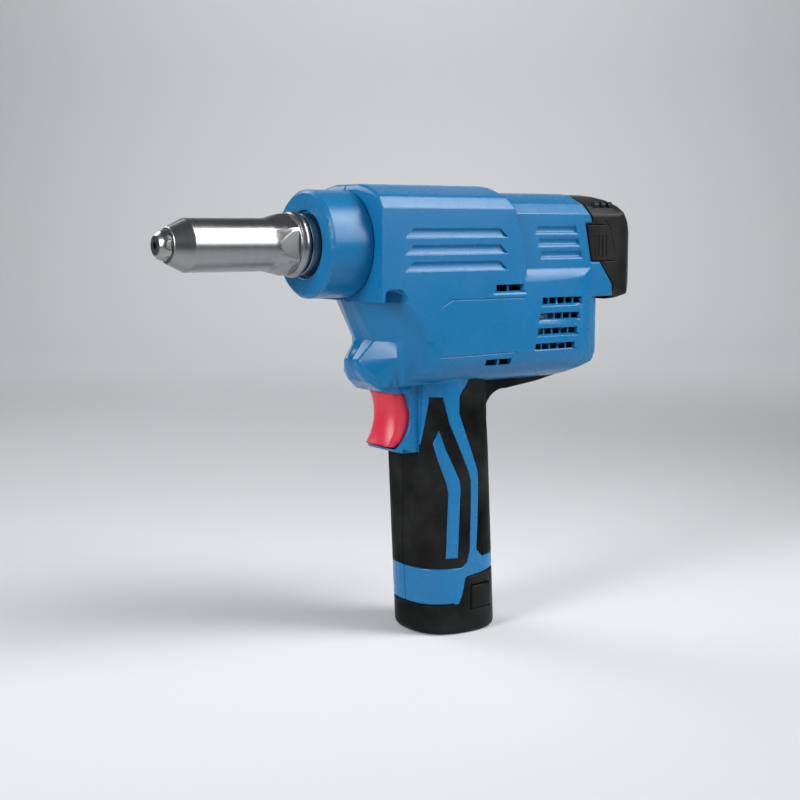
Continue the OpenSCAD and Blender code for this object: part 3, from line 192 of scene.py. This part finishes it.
# edge rub: where handling has polished the corners
def makeEdgeRub():
    tree, given, out = newGroup("edgeRub", {"Reach": 0.0012, "Patch": 90.0}, ("Mask",))
    soft = put(tree, "ShaderNodeBevel", samples=6)
    tree.links.new(given["Reach"], soft.inputs["Radius"])
    true = put(tree, "ShaderNodeNewGeometry")
    dot = put(tree, "ShaderNodeVectorMath", operation="DOT_PRODUCT")
    tree.links.new(soft.outputs["Normal"], dot.inputs[0])
    tree.links.new(true.outputs["Normal"], dot.inputs[1])
    edge = remap(tree, dot.outputs["Value"], 0.995, 0.86, 0.0, 1.0)
    patch = fill(put(tree, "ShaderNodeTexNoise"), Detail=5.0, Roughness=0.7)
    tree.links.new(put(tree, "ShaderNodeTexCoord").outputs["Object"], patch.inputs["Vector"])
    tree.links.new(given["Patch"], patch.inputs["Scale"])
    broken = remap(tree, patch.outputs["Fac"], 0.35, 0.65, 0.25, 1.0)
    tree.links.new(maths(tree, "MULTIPLY", edge, broken, clamp=True), out["Mask"])
    return tree


# handling marks: faint smears and fingerprints that only change the gloss
def makeSmears():
    tree, given, out = newGroup("handSmears", {"Scale": 55.0}, ("Mask",))
    place = put(tree, "ShaderNodeTexCoord").outputs["Object"]
    warp = fill(put(tree, "ShaderNodeTexNoise"), Detail=6.0, Roughness=0.62, Distortion=1.6)
    tree.links.new(place, warp.inputs["Vector"])
    tree.links.new(given["Scale"], warp.inputs["Scale"])
    tree.links.new(remap(tree, warp.outputs["Fac"], 0.38, 0.66, 0.0, 1.0), out["Mask"])
    return tree


# turned marks: the fine rings that a lathe tool leaves round the pull axis
def makeTurned():
    tree, given, out = newGroup("turnedMarks", {"Pitch": 3200.0}, ("Height", "Tone"))
    place = put(tree, "ShaderNodeTexCoord").outputs["Object"]
    split = put(tree, "ShaderNodeSeparateXYZ")
    tree.links.new(place, split.inputs[0])
    fine = put(tree, "ShaderNodeTexNoise", noise_dimensions="1D")
    broad = put(tree, "ShaderNodeTexNoise", noise_dimensions="1D")
    tree.links.new(split.outputs["X"], fine.inputs["W"])
    tree.links.new(split.outputs["X"], broad.inputs["W"])
    tree.links.new(given["Pitch"], fine.inputs["Scale"])
    tree.links.new(maths(tree, "MULTIPLY", given["Pitch"], 0.08), broad.inputs["Scale"])
    tree.links.new(fine.outputs["Fac"], out["Height"])
    tree.links.new(remap(tree, broad.outputs["Fac"], 0.3, 0.7, 0.0, 1.0), out["Tone"])
    return tree


grainGroup = makeGrain()
rubGroup = makeEdgeRub()
smearGroup = makeSmears()
turnedGroup = makeTurned()
print("shader groups built")

materials = {}


def startMaterial(slot, **fixed):
    mat = bpy.data.materials.new(slot)
    mat.use_nodes = True
    tree = mat.node_tree
    shader = tree.nodes["Principled BSDF"]
    fill(shader, **fixed)
    materials[slot] = mat
    return tree, shader


def bumpFrom(tree, shader, height, strength, depth):
    bump = fill(put(tree, "ShaderNodeBump"), Strength=strength, Distance=depth)
    tree.links.new(height, bump.inputs["Height"])
    tree.links.new(bump.outputs["Normal"], shader.inputs["Normal"])


# moulded plastics and rubber: colour drift, grain, rubbed edges, smeared gloss
def mouldedFinish(slot, spec):
    tree, shader = startMaterial(slot, **spec.get("fixed", {}))
    grain = useGroup(tree, grainGroup, Scale=spec["grain"], Drift=spec["drift"])
    rub = useGroup(tree, rubGroup, Reach=spec["reach"], Patch=spec["patch"])
    smear = useGroup(tree, smearGroup, Scale=spec["smear"])
    dim = darker(spec["colour"], spec["vary"])
    bright = lighter(spec["colour"], spec["vary"] * 0.4)
    body = blendColour(tree, grain["Tone"], dim, bright)
    worn = blendColour(tree, maths(tree, "MULTIPLY", rub["Mask"], spec["rub"]), body, spec["rubbed"])
    tree.links.new(worn, shader.inputs["Base Color"])
    low, high = spec["gloss"]
    rough = remap(tree, smear["Mask"], 0.0, 1.0, low, high)
    tree.links.new(maths(tree, "MULTIPLY_ADD", rub["Mask"], -0.08, rough), shader.inputs["Roughness"])
    bumpFrom(tree, shader, grain["Height"], spec["bump"], spec["depth"])


moulded = {
    "body_plastic": {
        "colour": shade(0, 102, 154), "rubbed": shade(30, 140, 195), "vary": 0.03, "rub": 0.25,
        "grain": 2600.0, "drift": 22.0, "reach": 0.0007, "patch": 120.0, "smear": 48.0,
        "gloss": (0.26, 0.3), "bump": 0.03, "depth": 0.00006,
        "fixed": {"Specular_IOR_Level": 0.3},
    },
    "grip_rubber": {
        "colour": shade(6, 7, 7), "rubbed": shade(28, 29, 30), "vary": 0.05, "rub": 0.25,
        "grain": 3400.0, "drift": 40.0, "reach": 0.0006, "patch": 160.0, "smear": 60.0,
        "gloss": (0.44, 0.5), "bump": 0.1, "depth": 0.0001,
        "fixed": {"Specular_IOR_Level": 0.03},
    },
    "trigger_plastic": {
        "colour": shade(198, 28, 56), "rubbed": shade(232, 100, 122), "vary": 0.03, "rub": 0.2,
        "grain": 2800.0, "drift": 60.0, "reach": 0.0008, "patch": 200.0, "smear": 90.0,
        "gloss": (0.33, 0.4), "bump": 0.04, "depth": 0.00006,
        "fixed": {"Specular_IOR_Level": 0.5},
    },
    "base_plastic": {
        "colour": shade(6, 7, 7), "rubbed": shade(30, 31, 32), "vary": 0.05, "rub": 0.25,
        "grain": 2200.0, "drift": 30.0, "reach": 0.0007, "patch": 140.0, "smear": 50.0,
        "gloss": (0.34, 0.4), "bump": 0.06, "depth": 0.0001,
        "fixed": {"Specular_IOR_Level": 0.045},
    },
    "cap_plastic": {
        "colour": shade(7, 7, 7), "rubbed": shade(40, 40, 42), "vary": 0.05, "rub": 0.3,
        "grain": 2400.0, "drift": 36.0, "reach": 0.0006, "patch": 150.0, "smear": 56.0,
        "gloss": (0.3, 0.35), "bump": 0.05, "depth": 0.00008,
        "fixed": {"Specular_IOR_Level": 0.1},
    },
    "inner_plastic": {
        "colour": shade(40, 41, 43), "rubbed": shade(66, 66, 68), "vary": 0.08, "rub": 0.2,
        "grain": 1800.0, "drift": 50.0, "reach": 0.0006, "patch": 180.0, "smear": 70.0,
        "gloss": (0.45, 0.6), "bump": 0.2, "depth": 0.00008,
    },
    "board_laminate": {
        "colour": shade(18, 92, 58), "rubbed": shade(110, 150, 110), "vary": 0.1, "rub": 0.2,
        "grain": 1500.0, "drift": 120.0, "reach": 0.0004, "patch": 240.0, "smear": 90.0,
        "gloss": (0.3, 0.42), "bump": 0.12, "depth": 0.00005,
    },
    "cell_wrap": {
        "colour": shade(92, 120, 132), "rubbed": shade(160, 176, 182), "vary": 0.08, "rub": 0.2,
        "grain": 900.0, "drift": 40.0, "reach": 0.0006, "patch": 150.0, "smear": 60.0,
        "gloss": (0.28, 0.42), "bump": 0.08, "depth": 0.00006,
    },
}
for slotName, spec in moulded.items():
    mouldedFinish(slotName, spec)


# turned and ground metals: rings from the lathe, smears, brighter worn edges
def metalFinish(slot, spec):
    tree, shader = startMaterial(slot, Metallic=1.0, **spec.get("fixed", {}))
    turned = useGroup(tree, turnedGroup, Pitch=spec["pitch"])
    rub = useGroup(tree, rubGroup, Reach=spec["reach"], Patch=spec["patch"])
    smear = useGroup(tree, smearGroup, Scale=spec["smear"])
    body = blendColour(tree, turned["Tone"], darker(spec["colour"], spec["vary"]), spec["colour"])
    worn = blendColour(tree, maths(tree, "MULTIPLY", rub["Mask"], 0.5), body, lighter(spec["colour"], 0.3))
    tree.links.new(worn, shader.inputs["Base Color"])
    low, high = spec["gloss"]
    rough = remap(tree, smear["Mask"], 0.0, 1.0, low, high)
    tree.links.new(maths(tree, "MULTIPLY_ADD", turned["Tone"], 0.04, rough), shader.inputs["Roughness"])
    bumpFrom(tree, shader, turned["Height"], spec["bump"], spec["depth"])


metals = {
    "polished_steel": {
        "colour": shade(160, 160, 160), "vary": 0.06, "pitch": 4200.0, "reach": 0.0006, "patch": 200.0,
        "smear": 40.0, "gloss": (0.22, 0.26), "bump": 0.04, "depth": 0.00003,
        "fixed": {"Anisotropic": 0.35},
    },
    "polished_alloy": {
        "colour": shade(150, 150, 151), "vary": 0.06, "pitch": 4200.0, "reach": 0.0006, "patch": 200.0,
        "smear": 40.0, "gloss": (0.27, 0.3), "bump": 0.04, "depth": 0.00003,
        "fixed": {"Anisotropic": 0.35},
    },
    "hardened_steel": {
        "colour": shade(150, 150, 154), "vary": 0.15, "pitch": 2600.0, "reach": 0.0005, "patch": 200.0,
        "smear": 80.0, "gloss": (0.26, 0.38), "bump": 0.12, "depth": 0.00005,
    },
    "cast_alloy": {
        "colour": shade(178, 179, 182), "vary": 0.12, "pitch": 900.0, "reach": 0.0006, "patch": 120.0,
        "smear": 60.0, "gloss": (0.42, 0.56), "bump": 0.2, "depth": 0.0001,
    },
    "bronze": {
        "colour": shade(190, 146, 78), "vary": 0.14, "pitch": 2600.0, "reach": 0.0004, "patch": 180.0,
        "smear": 80.0, "gloss": (0.26, 0.4), "bump": 0.1, "depth": 0.00005,
    },
    "winding_copper": {
        "colour": shade(184, 104, 66), "vary": 0.2, "pitch": 2000.0, "reach": 0.0004, "patch": 160.0,
        "smear": 80.0, "gloss": (0.3, 0.44), "bump": 0.2, "depth": 0.0001,
    },
    "magnet_iron": {
        "colour": shade(64, 64, 68), "vary": 0.15, "pitch": 1200.0, "reach": 0.0005, "patch": 140.0,
        "smear": 70.0, "gloss": (0.5, 0.64), "bump": 0.2, "depth": 0.0001,
    },
}
for slotName, spec in metals.items():
    metalFinish(slotName, spec)
print("materials built:", len(materials))

for name, obj in nodes.items():
    obj.data.materials.clear()
    obj.data.materials.append(materials[slotOf[name]])


# rounded pieces: the CAD solid with its moulding radii put on its outer edges
rounding = {
    "weld": 0.000002,
    "flatWithin": math.radians(0.5),
    "sharpFrom": math.radians(38),
    "edgeFrom": math.radians(18),
    "softEdgeFrom": math.radians(6),
    "shortest": 0.0003,
    "rayLift": 0.0003,
    "footBand": 0.0001,
    "roomShare": 0.42,
    "steps": 3,
    "turns": 12,
    "gentleTurns": 8,
    "keep": 0.55,
    "least": 0.00007,
    "overTurn": -0.2,
    "leastArea": 1e-10,
    "boxSlack": 2e-5,
}


def flatFaces(node):
    bm = bmesh.new()
    bm.from_mesh(nodes[node].data)
    bmesh.ops.remove_doubles(bm, verts=bm.verts, dist=rounding["weld"])
    flat = rounding["flatWithin"]
    bmesh.ops.dissolve_limit(bm, angle_limit=flat, verts=bm.verts[:], edges=bm.edges[:])
    bmesh.ops.connect_verts_concave(bm, faces=bm.faces[:])
    bm.normal_update()
    return bm


def roomBeside(edge):
    # how far the faces beside an edge run square to it before another edge crosses
    start, end = (v.co for v in edge.verts)
    length = (end - start).length
    along = (end - start) / length
    room = 1.0
    for face in edge.link_faces:
        inward = face.normal.cross(along)
        if (face.calc_center_median() - start).dot(inward) < 0:
            inward.negate()
        for other in face.edges:
            if set(other.verts) & set(edge.verts):
                continue
            p, q = (v.co - start for v in other.verts)
            u, v = p.dot(along), q.dot(along)
            if max(u, v) <= 0 or min(u, v) >= length:
                continue
            for t in (0.0, 0.5, 1.0):
                at = u + (v - u) * t
                if 0 <= at <= length or t == 0.5:
                    room = min(room, max(0.0, p.lerp(q, t).dot(inward)))
    return room


def softRadius(spec, middle):
    for low, high, radius in spec.get("soft", ()):
        if all(a <= m <= b for a, m, b in zip(low, middle, high)):
            return radius
    return 0.0


def weighEdges(bm, solid, spec, width):
    weight = bm.edges.layers.float.new("bevel_weight_edge")
    lowest = min(v.co.z for v in bm.verts) + rounding["footBand"]
    for edge in bm.edges:
        if len(edge.link_faces) != 2 or edge.calc_length() < rounding["shortest"]:
            continue
        normal = (edge.link_faces[0].normal + edge.link_faces[1].normal).normalized()
        middle = (edge.verts[0].co + edge.verts[1].co) / 2
        soft = softRadius(spec, middle)
        if edge.calc_face_angle(0.0) < rounding["softEdgeFrom" if soft else "edgeFrom"]:
            continue
        if solid.ray_cast(middle + normal * rounding["rayLift"], normal)[0] is not None:
            continue  # inside the shell, never seen
        foot = max(v.co.z for v in edge.verts) < lowest
        wanted = spec.get("footRound", spec["round"]) if foot else spec["round"]
        edge[weight] = min(max(wanted, soft), roomBeside(edge) * rounding["roomShare"]) / width


def foldedSpots(piece, solid, far, box):
    # places where the rounding turned a face over or left the solid
    bpy.context.view_layer.update()
    shape = piece.evaluated_get(bpy.context.evaluated_depsgraph_get()).to_mesh()
    shape.calc_loop_triangles()
    slack = rounding["boxSlack"]
    spots = []
    for tri in shape.loop_triangles:
        middle = (shape.vertices[tri.vertices[0]].co + shape.vertices[tri.vertices[1]].co
                  + shape.vertices[tri.vertices[2]].co) / 3
        hit = solid.find_nearest(middle)
        turned = tri.normal.dot(hit[1]) < rounding["overTurn"] and tri.area > rounding["leastArea"]
        if turned or hit[3] > far:
            spots.append(middle)
    for vert in shape.vertices:
        if any(c < low - slack or c > high + slack for c, low, high in zip(vert.co, *box)):
            spots.append(vert.co.copy())
    return spots


def easeEdges(mesh, spots, reach, width, keep):
    weights = mesh.attributes["bevel_weight_edge"].data
    live = [e.index for e in mesh.edges if weights[e.index].value > 0]
    places = KDTree(len(live) * 3)
    for index in live:
        a, b = (mesh.vertices[v].co for v in mesh.edges[index].vertices)
        for t in (0.0, 0.5, 1.0):
            places.insert(a.lerp(b, t), index)
    places.balance()
    eased = set()
    for spot in spots:
        for co, index, gap in places.find_range(spot, max(reach, width)):
            if gap <= max(reach, weights[index].value * width):
                eased.add(index)
    for index in eased:
        value = weights[index].value * keep
        weights[index].value = value if value * width > rounding["least"] else 0.0
    return len(eased)


def roundedPiece(node, spec):
    bm = flatFaces(node)
    solid = BVHTree.FromBMesh(bm)
    width = max([spec["round"], spec.get("footRound", 0.0)] + [s[2] for s in spec.get("soft", ())])
    box = [[pick(v.co[i] for v in bm.verts) for i in range(3)] for pick in (min, max)]
    weighEdges(bm, solid, spec, width)
    mesh = bpy.data.meshes.new(node + "_skin")
    bm.to_mesh(mesh)
    bm.free()
    mesh.materials.append(materials[slotOf[node]])
    mesh.shade_smooth()
    mesh.set_sharp_from_angle(angle=rounding["sharpFrom"])
    piece = bpy.data.objects.new(node + "_skin", mesh)
    scene.collection.objects.link(piece)
    bevel = piece.modifiers.new("mouldRadius", "BEVEL")
    bevel.limit_method = "WEIGHT"
    bevel.width = width
    bevel.segments = rounding["steps"]
    bevel.use_clamp_overlap = False
    spots = []
    for turn in range(rounding["turns"]):
        spots = foldedSpots(piece, solid, max(spec["round"] * 0.8, width * 0.4), box)
        keep = rounding["keep"] if turn < rounding["gentleTurns"] else 0.0
        if not spots or not easeEdges(mesh, spots, spec["round"] * (1.0 + 0.25 * turn), width, keep):
            break
    normals = piece.modifiers.new("faceNormals", "WEIGHTED_NORMAL")
    normals.keep_sharp = True
    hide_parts(node)
    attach(piece, bodyOf[node])
    print("rounded", node, "left over:", len(spots))
    return piece


# the chin, the column over it and the tail have wide radii
shellSoft = [
    ((0.09, -0.032, -0.0725), (0.126, 0.032, -0.0305), 0.004),
    ((0.09, -0.032, -0.024), (0.0965, 0.032, 0.028), 0.0026),
    ((0.2, -0.032, -0.068), (0.245, 0.032, -0.036), 0.006),
]
roundings = {
    "left_housing": {"round": 0.0012, "soft": shellSoft},
    "right_housing": {"round": 0.0012, "soft": shellSoft},
    "left_front_grip": {"round": 0.0005},
    "left_rear_grip": {"round": 0.0005},
    "right_front_grip": {"round": 0.0005},
    "right_rear_grip": {"round": 0.0005},
    "front_collar": {"round": 0.0009},
    "nose_housing": {"round": 0.0004},
    "nosepiece": {"round": 0.0004},
    "trigger": {"round": 0.002},
    "battery_base": {"round": 0.0008, "footRound": 0.003},
    "left_battery_button": {"round": 0.0006},
    "right_battery_button": {"round": 0.0006},
    "collector_cap": {"round": 0.0011},
    "left_cap_latch": {"round": 0.0004},
    "right_cap_latch": {"round": 0.0004},
}
for nodeName, spec in roundings.items():
    roundedPiece(nodeName, spec)

# studio: pale floor that curves up behind, soft lamps
studio = {
    "floor": cadBox[0].z,
    "floorColour": shade(208, 210, 212),
    "behind": 1.6,
    "wide": 3.0,
    "rise": 1.8,
    "bend": 0.5,
    "bendSteps": 12,
    "front": -1.8,
    "centre": (0.12, 0.0),
    "away": (0.578, 0.816),
}


def makeSweep(spec):
    # the floor runs away from the camera, bends up and becomes the backdrop
    away = Vector(spec["away"] + (0.0,))
    side = Vector((away.y, -away.x, 0.0))
    centre = Vector(spec["centre"] + (spec["floor"],))
    profile = [(spec["front"], 0.0)]
    for i in range(spec["bendSteps"] + 1):
        a = math.radians(90 * i / spec["bendSteps"])
        profile.append((spec["behind"] + spec["bend"] * math.sin(a), spec["bend"] * (1 - math.cos(a))))
    profile.append((spec["behind"] + spec["bend"], spec["rise"]))
    verts = []
    for out, up in profile:
        for s in (-1, 1):
            verts.append(centre + away * out + side * s * spec["wide"] + Vector((0, 0, up)))
    faces = [(2 * i, 2 * i + 1, 2 * i + 3, 2 * i + 2) for i in range(len(profile) - 1)]
    mesh = bpy.data.meshes.new("studioSweep")
    mesh.from_pydata(verts, [], faces)
    mesh.shade_smooth()
    mat = bpy.data.materials.new("studioPaper")
    mat.use_nodes = True
    fill(mat.node_tree.nodes["Principled BSDF"], Base_Color=spec["floorColour"], Roughness=0.9)
    mesh.materials.append(mat)
    sweep = bpy.data.objects.new("studioSweep", mesh)
    scene.collection.objects.link(sweep)


makeSweep(studio)

lamps = {
    "keyBox": {
        "place": (0.8, -0.6, 0.78), "target": (0.12, 0.0, -0.05), "size": (0.55, 0.9),
        "watts": 2.9, "spread": 70,
    },
    "sideBox": {
        "place": (0.72, -0.95, 0.34), "target": (0.12, 0.0, 0.02), "size": (0.7, 0.5),
        "watts": 1.3, "spread": 80,
    },
    "fillBox": {
        "place": (-0.85, -0.22, 0.3), "target": (0.12, 0.0, -0.06), "size": (0.4, 0.7),
        "watts": 1.8, "spread": 70,
    },
    "rimBox": {
        "place": (-0.2, 0.95, 0.6), "target": (0.12, 0.0, -0.05), "size": (0.7, 0.7),
        "watts": 2.0, "spread": 100,
    },
    "paperBox": {
        "place": (0.62, 0.72, 1.2), "target": (1.25, 1.6, 0.1), "size": (1.4, 0.5),
        "watts": 12.0, "spread": 130,
    },
}


def makeLamp(name, spec):
    data = bpy.data.lights.new(name, "AREA")
    data.shape = "RECTANGLE"
    data.size, data.size_y = spec["size"]
    data.energy = spec["watts"]
    data.spread = math.radians(spec["spread"])
    lamp = bpy.data.objects.new(name, data)
    lamp.location = spec["place"]
    aim = Vector(spec["target"]) - lamp.location
    lamp.rotation_mode = "QUATERNION"
    lamp.rotation_quaternion = aim.to_track_quat("-Z", "Y")
    lamp.visible_camera = False
    scene.collection.objects.link(lamp)


for lampName, spec in lamps.items():
    makeLamp(lampName, spec)

# faint cool light from all round
air = {"Color": (0.75, 0.78, 0.82, 1.0), "Strength": 0.13}
world = bpy.data.worlds.new("studioAir")
world.use_nodes = True
fill(world.node_tree.nodes["Background"], **air)
scene.world = world
print("studio lit")
